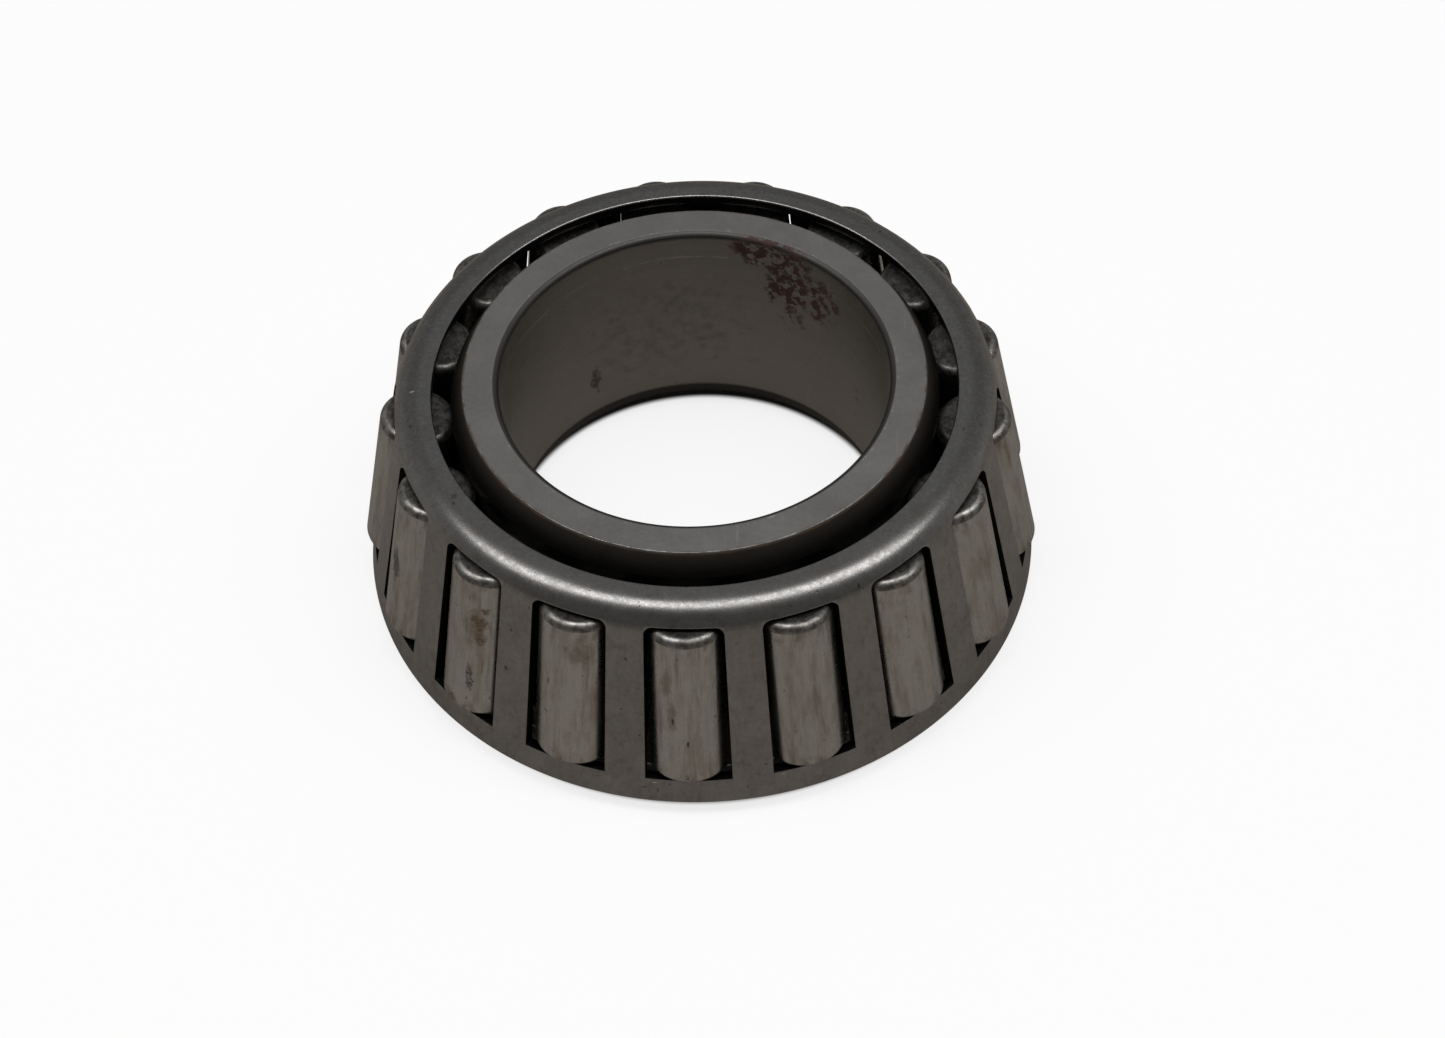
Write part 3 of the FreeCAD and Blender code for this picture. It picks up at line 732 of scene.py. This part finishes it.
def roller_outline():
    """Upright on its axis: the large end is part of a sphere about the bearing's apex."""
    dome_steps = 6
    dome = []
    for i in range(dome_steps):
        radius = (large_r - LARGE_END_CORNER - HOLD) * i / dome_steps
        dome.append((radius, slant - math.sqrt(slant ** 2 - radius ** 2), 0))
    face_steps = 4
    face_r = 0.7 * small_r
    face = [(face_r * i / face_steps, roller_top, 0) for i in range(face_steps - 1, -1, -1)]
    return rounded_outline(dome + [(large_r, end_dome, LARGE_END_CORNER),
                                   (small_r, roller_top, SMALL_END_CORNER)] + face, closed=False)


# ---------------------------------------------------------------- geometry nodes and pieces

def make_turning_tree():
    """Turns an outline in the XZ plane about Z, and keeps each point's own upright place."""
    tree, w, given, out = new_group(
        "turned_about_axis", "GeometryNodeTree",
        {"Outline": "shape", "Steps": "whole", "Closed": "yes", "Number": "value",
         "Finish": "finish"}, {"Turned": "shape"})
    count = w.node("GeometryNodeAttributeDomainSize", {"Geometry": given["Outline"]}).outputs["Point Count"]
    rows = w.plus(count, given["Closed"])
    grid = w.node("GeometryNodeMeshGrid", {"Size X": 1.0, "Size Y": 1.0, "Vertices Y": rows,
                                           "Vertices X": w.plus(given["Steps"], 1)})
    where = w.node("ShaderNodeSeparateXYZ", {"Vector": w.node("GeometryNodeInputPosition").outputs[0]})
    turn = w.times(w.plus(where.outputs["X"], 0.5), math.tau)
    row = w.times(w.plus(where.outputs["Y"], 0.5), w.minus(rows, 1))
    row = w.math("MODULO", w.math("ROUND", row), count)
    outline_point = w.node("GeometryNodeSampleIndex", data_type="FLOAT_VECTOR", domain="POINT")
    w.feed(outline_point.inputs["Geometry"], given["Outline"])
    w.feed(outline_point.inputs["Value"], w.node("GeometryNodeInputPosition").outputs[0])
    w.feed(outline_point.inputs["Index"], row)
    turned = w.node("ShaderNodeVectorRotate", {"Vector": outline_point.outputs["Value"], "Angle": turn},
                    rotation_type="Z_AXIS")
    placed = w.node("GeometryNodeSetPosition", {"Geometry": grid.outputs["Mesh"],
                                                "Position": turned.outputs["Vector"]})
    welded = w.node("GeometryNodeMergeByDistance", {"Geometry": placed.outputs[0],
                                                    "Distance": WELD * MM})
    own = w.node("GeometryNodeStoreNamedAttribute", {
        "Geometry": welded.outputs[0], "Name": "own_place",
        "Value": w.node("GeometryNodeInputPosition").outputs[0]}, data_type="FLOAT_VECTOR", domain="POINT")
    numbered = w.node("GeometryNodeStoreNamedAttribute", {
        "Geometry": own.outputs[0], "Name": "roller_number", "Value": given["Number"]},
        data_type="FLOAT", domain="POINT")
    end_tree(w, numbered.outputs[0], given["Finish"], out["Turned"])
    return tree


def make_repeating_tree():
    """Sets a sector round Z as often as it fits, and welds the sectors into one shell."""
    tree, w, given, out = new_group(
        "repeated_round_axis", "GeometryNodeTree",
        {"Sector": "shape", "Count": "whole", "Finish": "finish"}, {"Shell": "shape"})
    points = w.node("GeometryNodePoints", {"Count": given["Count"]})
    index = w.node("GeometryNodeInputIndex").outputs[0]
    turn = w.times(w.math("DIVIDE", index, given["Count"]), math.tau)
    turned = w.node("ShaderNodeCombineXYZ", {"Z": turn}).outputs[0]
    placed = w.node("GeometryNodeInstanceOnPoints", {"Points": points.outputs[0],
                                                     "Instance": given["Sector"], "Rotation": turned})
    whole = w.node("GeometryNodeRealizeInstances", {"Geometry": placed.outputs[0]})
    welded = w.node("GeometryNodeMergeByDistance", {"Geometry": whole.outputs[0], "Distance": WELD * MM})
    end_tree(w, welded.outputs[0], given["Finish"], out["Shell"])
    return tree


def end_tree(w, shape, finish, output):
    """The last steps of both trees: smooth shading, plain geometry, and the finish on it."""
    smooth = w.node("GeometryNodeSetShadeSmooth", {"Geometry": shape})
    whole = w.node("GeometryNodeRealizeInstances", {"Geometry": smooth.outputs[0]})
    w.feed(output, w.node("GeometryNodeSetMaterial", {"Geometry": whole.outputs[0],
                                                      "Material": finish}).outputs[0])


def add_nodes(draft, tree, inputs):
    """Put a geometry node tree on an object, with its inputs set by their names."""
    modifier = draft.modifiers.new(tree.name, "NODES")
    modifier.node_group = tree
    for item in tree.interface.items_tree:
        if item.in_out == "INPUT" and item.name in inputs:
            modifier[item.identifier] = inputs[item.name]


def make_draft(name, vertices, edges=(), faces=()):
    """An object in the scene whose mesh is given in millimetres."""
    mesh = bpy.data.meshes.new(name)
    mesh.from_pydata([Vector(v) * MM for v in vertices], edges, faces)
    draft = bpy.data.objects.new(name, mesh)
    bpy.context.scene.collection.objects.link(draft)
    return draft


def turn_faces_outwards(mesh):
    """Every face looks out of the shell, which bevels and shading need."""
    shape = bmesh.new()
    shape.from_mesh(mesh)
    bmesh.ops.recalc_face_normals(shape, faces=shape.faces)
    shape.to_mesh(mesh)
    shape.free()


def finished_piece(name, draft, body, node, place=Matrix.Identity(4)):
    """The draft's evaluated shape as a plain mesh that rides on its body in the CAD node's stead."""
    bpy.context.view_layer.update()
    evaluated = draft.evaluated_get(bpy.context.evaluated_depsgraph_get())
    mesh = bpy.data.meshes.new_from_object(evaluated)
    mesh.name = name
    mesh.transform(place)
    turn_faces_outwards(mesh)
    piece = bpy.data.objects.new(name, mesh)
    bpy.context.scene.collection.objects.link(piece)
    bpy.data.objects.remove(draft)
    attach(piece, body)
    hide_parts(node)
    return piece


def turned_draft(name, outline, closed, steps, number, finish):
    """A draft object that holds an outline and the nodes that turn it."""
    vertices = [(point.x, 0, point.y) for point in outline]
    last = len(vertices) if closed else len(vertices) - 1
    edges = [(i, (i + 1) % len(vertices)) for i in range(last)]
    draft = make_draft(name + "_outline", vertices, edges)
    add_nodes(draft, turning_tree, {"Steps": steps, "Closed": closed, "Number": float(number),
                                    "Finish": finish})
    return draft


def make_ring(finish):
    draft = turned_draft("inner_ring", ring_outline(), True, RING_STEPS, 0, finish)
    return finished_piece("turned_inner_ring", draft, "inner_ring", "inner_ring")


def make_roller(index, joint, finish):
    """One roller, upright in its draft, then leaned to its axis in the bearing."""
    name = joint["child"]
    draft = turned_draft(name, roller_outline(), False, ROLLER_STEPS, index, finish)
    axis = Vector(joint["axis"]).normalized()
    middle = Vector(joint["pos_m"])
    base = middle - axis * (end_dome + roller_length / 2) * MM
    outward = Vector((middle.x, middle.y, 0)).normalized()
    lean = Matrix.Rotation(math.atan2(outward.x, -outward.y), 4, "Z") @ Matrix.Rotation(-tilt, 4, "X")
    return finished_piece(name + "_ground", draft, name, name,
                          Matrix.Translation(base) @ lean)


# ------------------------------------------------------------------------------------- cage

def on_sheet(down, depth):
    """The point of the cage's section that lies a distance down the wall from the bend's
    centre, on the outer surface (depth 0) or the inner one (depth SHEET)."""
    arm = bend_out - depth
    if down >= 0:
        return bend + wall_out * arm + wall_down * down
    return bend + wall_out * math.sqrt(arm ** 2 - down ** 2) + wall_down * down


def cage_rows():
    """The section as pairs of an outer and an inner point, from the flange's edge to the
    skirt's, and how far down the wall each pair lies from the window's top row on."""
    pairs = []
    edge = flange_r + SHEET_EDGE_CORNER
    for radius in (edge, edge + HOLD, (edge + bend.x) / 2):
        pairs.append((Vector((radius, FLANGE_TOP_Z)), Vector((radius, FLANGE_TOP_Z - SHEET))))
    bend_steps = 10
    ends = []
    for arm in (bend_out, BEND_RADIUS):
        ends.append(wall_angle + math.asin(-window_top / arm))
    for i in range(bend_steps):
        share = i / bend_steps
        pair = []
        for arm, end in zip((bend_out, BEND_RADIUS), ends):
            turn = math.pi / 2 + (end - math.pi / 2) * share
            pair.append(bend + Vector((math.cos(turn), math.sin(turn))) * arm)
        pairs.append(tuple(pair))
    hold = 3 * HOLD
    downs = [window_top - hold, window_top]
    for turn in corner_turns()[CORNER_STEPS - 1::-1]:
        downs.append(window_top + POCKET_CORNER * (1 - math.sin(turn)))
    straight = max(window_top + POCKET_CORNER, 0.0) + hold
    wall_steps = 8
    downs += [straight + (window_low - straight) * i / wall_steps for i in range(wall_steps)]
    downs += [window_low - hold, window_low, window_low + hold]
    last = skirt_end - SHEET_EDGE_CORNER
    downs += [(window_low + last) / 2, last - HOLD, last]
    first = len(pairs)
    pairs += [(on_sheet(down, 0), on_sheet(down, SHEET)) for down in downs]
    return pairs, first, downs


def corner_turns():
    """The angles of the points that round a window's upper corner, from its side to its top."""
    return [math.pi / 2 * i / (2 * CORNER_STEPS) for i in range(2 * CORNER_STEPS + 1)]


def cage_columns():
    """Angles across one sector, and which of them are the window's sides."""
    half_pitch = math.pi / ROLLER_COUNT
    side = POCKET_ANGLE / 2
    reach = POCKET_CORNER / on_sheet(window_top, 0).x
    hold = 3 * HOLD / on_sheet(window_top, 0).x
    left = [-half_pitch, -(half_pitch + side) / 2, -side - hold]
    corner = [-side + reach * (1 - math.cos(turn)) for turn in corner_turns()[CORNER_STEPS + 1:]]
    middle_steps = 8
    inner = -corner[-1]
    middle = [-inner + 2 * inner * i / middle_steps for i in range(1, middle_steps)]
    half = left + [-side] + corner
    return half + middle + [-angle for angle in reversed(half)], len(left)


def cap(outer, inner, outward):
    """The rounded edge of the sheet, between its outer and its inner surface."""
    size = SHEET_EDGE_CORNER
    through = (inner - outer).normalized()
    steps = 4
    first = arc(outer + through * size, outer, outer + (through + outward) * size, steps)
    second = arc(inner - through * size, inner + (outward - through) * size, inner, steps)
    return first[1:] + second[:-1]


def make_cage_sector():
    """One sector of the cage, with its window in the middle, on the -Y side."""
    pairs, first, downs = cage_rows()
    angles, left = cage_columns()
    right = len(angles) - 1 - left
    top = first + downs.index(window_top)
    low = first + downs.index(window_low)
    rows = len(pairs)
    reach = POCKET_CORNER / on_sheet(window_top, 0).x

    def rounded(row, column):
        """Where a point of the window's corner moves: the change of angle, and the place down."""
        turns = corner_turns()
        from_side = min(column - left, right - column)
        below = row - top
        if row == top and 0 <= from_side <= CORNER_STEPS:
            turn = turns[CORNER_STEPS + from_side]
        elif from_side == 0 and 0 < below <= CORNER_STEPS:
            turn = turns[CORNER_STEPS - below]
        else:
            return angles[column], None
        sign = 1 if column - left < right - column else -1
        angle = sign * (-POCKET_ANGLE / 2 + reach * (1 - math.cos(turn)))
        return angle, window_top + POCKET_CORNER * (1 - math.sin(turn))

    vertices, number = [], {}

    def add(key, point, angle):
        number[key] = len(vertices)
        vertices.append((point.x * math.sin(angle), -point.x * math.cos(angle), point.y))

    for column in range(len(angles)):
        for row, pair in enumerate(pairs):
            if top < row < low and left < column < right:
                continue
            angle, down = rounded(row, column)
            for side, depth in ((0, 0), (1, SHEET)):
                point = pair[side] if down is None else on_sheet(down, depth)
                add((side, row, column), point, angle)
        flange_cap = cap(pairs[0][0], pairs[0][1], Vector((-1, 0)))
        skirt_cap = cap(pairs[-1][0], pairs[-1][1], wall_down)
        for end, points in (("flange", flange_cap), ("skirt", skirt_cap)):
            for i, point in enumerate(points):
                add((end, i, column), point, angles[column])

    faces = []
    for column in range(len(angles) - 1):
        for row in range(rows - 1):
            if top <= row < low and left <= column < right:
                continue
            for side in (0, 1):
                faces.append([(side, row, column), (side, row + 1, column),
                              (side, row + 1, column + 1), (side, row, column + 1)])
        for end, row in (("flange", 0), ("skirt", rows - 1)):
            chain = [(0, row)] + [(end, i) for i in range(len(flange_cap))] + [(1, row)]
            for (side_a, row_a), (side_b, row_b) in zip(chain, chain[1:]):
                faces.append([(side_a, row_a, column), (side_b, row_b, column),
                              (side_b, row_b, column + 1), (side_a, row_a, column + 1)])
    whole_sheet = len(faces)
    for column in (left, right):
        for row in range(top, low):
            faces.append([(0, row, column), (0, row + 1, column), (1, row + 1, column), (1, row, column)])
    for row in (top, low):
        for column in range(left, right):
            faces.append([(0, row, column), (0, row, column + 1), (1, row, column + 1), (1, row, column)])
    sector = make_draft("cage_sector", vertices, (), [[number[key] for key in face] for face in faces])
    cut = sector.data.attributes.new("cut", "FLOAT", "FACE")
    cut.data.foreach_set("value", [float(i >= whole_sheet) for i in range(len(faces))])
    turn_faces_outwards(sector.data)
    return sector


def make_cage(finish):
    draft = make_cage_sector()
    add_nodes(draft, repeating_tree, {"Count": ROLLER_COUNT, "Finish": finish})
    bevel = draft.modifiers.new("punched_edges", "BEVEL")
    bevel.limit_method = "ANGLE"
    bevel.angle_limit = PUNCHED_EDGE_TURN
    bevel.width = PUNCHED_EDGE * MM
    bevel.segments = 2
    return finished_piece("pressed_cage", draft, "cage", "cage")


# ----------------------------------------------------------------------- camera and studio

def make_camera():
    """A view from above and in front, a few degrees round towards +X."""
    turn = math.radians(4.08)
    aside, down, roll = math.radians(-0.68), math.radians(50.18), math.radians(-2.26)
    away, up = 185.3 * MM, 225.5 * MM
    camera = bpy.data.objects.new("camera", bpy.data.cameras.new("camera"))
    camera.data.sensor_width = 36.0
    camera.data.lens = 69.76
    camera.data.clip_start = 0.01
    camera.matrix_world = (
        Matrix.Translation((away * math.sin(turn), -away * math.cos(turn), up))
        @ Matrix.Rotation(turn + aside, 4, "Z")
        @ Matrix.Rotation(math.pi / 2 - down, 4, "X")
        @ Matrix.Rotation(roll, 4, "Z"))
    bpy.context.scene.collection.objects.link(camera)
    bpy.context.scene.camera = camera


def make_floor():
    """A pale table, clear from below, with a painted shadow under the bearing where its glow is left out.
    Seen in the steel it is a mid grey, as in a dim room. What all but touches it sees through it, so that
    light from below reaches the ring's back face."""
    half = 1.5
    mesh = bpy.data.meshes.new("floor")
    level = -0.02 * MM
    corners = [(-half, -half, level), (half, -half, level), (half, half, level), (-half, half, level)]
    mesh.from_pydata(corners, [], [(0, 1, 2, 3)])
    floor = bpy.data.objects.new("floor", mesh)
    bpy.context.scene.collection.objects.link(floor)
    material = bpy.data.materials.new("pale_table")
    material.use_nodes = True
    w = Wiring(material.node_tree)
    material.node_tree.nodes.clear()
    radius = w.group(place_group, {"Vector": object_place(w)}).outputs["Radius"]
    # painted shadow: no glow on the floor between the bore and the cage's rim
    painted_shadow_under_bearing = w.between(radius, BORE_R + 1.2, cage_high.y - 1.2, 0.4)
    glow = w.times(w.minus(1.0, painted_shadow_under_bearing), 0.80)
    seen = w.node("ShaderNodeAddShader")
    w.feed(seen.inputs[0], w.node("ShaderNodeBsdfDiffuse", {"Color": TABLE}).outputs[0])
    w.feed(seen.inputs[1], w.node("ShaderNodeEmission", {"Color": WHITE, "Strength": glow}).outputs[0])
    reflected = w.node("ShaderNodeBsdfDiffuse", {"Color": TABLE_IN_STEEL})
    path = w.node("ShaderNodeLightPath").outputs
    choice = w.node("ShaderNodeMixShader", {0: path["Is Camera Ray"]})
    w.feed(choice.inputs[1], reflected.outputs[0])
    w.feed(choice.inputs[2], seen.outputs[0])
    behind = w.node("ShaderNodeNewGeometry").outputs["Backfacing"]
    touching = w.math("LESS_THAN", path["Ray Length"], 0.5 * MM)
    one_sided = w.node("ShaderNodeMixShader", {0: w.most(behind, touching), 1: choice.outputs[0],
                                               2: w.node("ShaderNodeBsdfTransparent").outputs[0]})
    w.node("ShaderNodeOutputMaterial", {"Surface": one_sided.outputs[0]})
    mesh.materials.append(material)


def make_room():
    """A dim room: darker in front, where the camera stands, than behind the bearing."""
    world = bpy.data.worlds.new("room")
    world.use_nodes = True
    bpy.context.scene.world = world
    w = Wiring(world.node_tree)
    world.node_tree.nodes.clear()
    direction = w.node("ShaderNodeSeparateXYZ", {
        "Vector": w.node("ShaderNodeTexCoord").outputs["Generated"]}).outputs
    behind = w.step(direction["Y"], -0.7, 0.5)
    background = w.node("ShaderNodeBackground", {"Color": w.mix(behind, *ROOM_TONES), "Strength": 1.0})
    w.node("ShaderNodeOutputWorld", {"Surface": background.outputs[0]})


def make_lamp():
    """One long soft box almost straight overhead, with the same glow whatever its size."""
    glow = 4.0
    light = bpy.data.lights.new("soft_box", "AREA")
    light.shape = "RECTANGLE"
    light.size = 1.9
    light.size_y = 0.30
    light.energy = glow * math.pi * light.size * light.size_y
    lamp = bpy.data.objects.new("soft_box", light)
    height = 0.9
    lamp.location = (0, -0.08 * height, height)
    bpy.context.scene.collection.objects.link(lamp)


def set_picture():
    bpy.context.scene.view_settings.view_transform = "Standard"


# ------------------------------------------------------------------------------------- make

turning_tree = make_turning_tree()
repeating_tree = make_repeating_tree()
roller_finish = make_roller_finish()

make_camera()
make_floor()
make_room()
make_lamp()
set_picture()
make_ring(make_ring_finish())
make_cage(make_cage_finish())
for index, joint in enumerate(roller_joints):
    make_roller(index, joint, roller_finish)
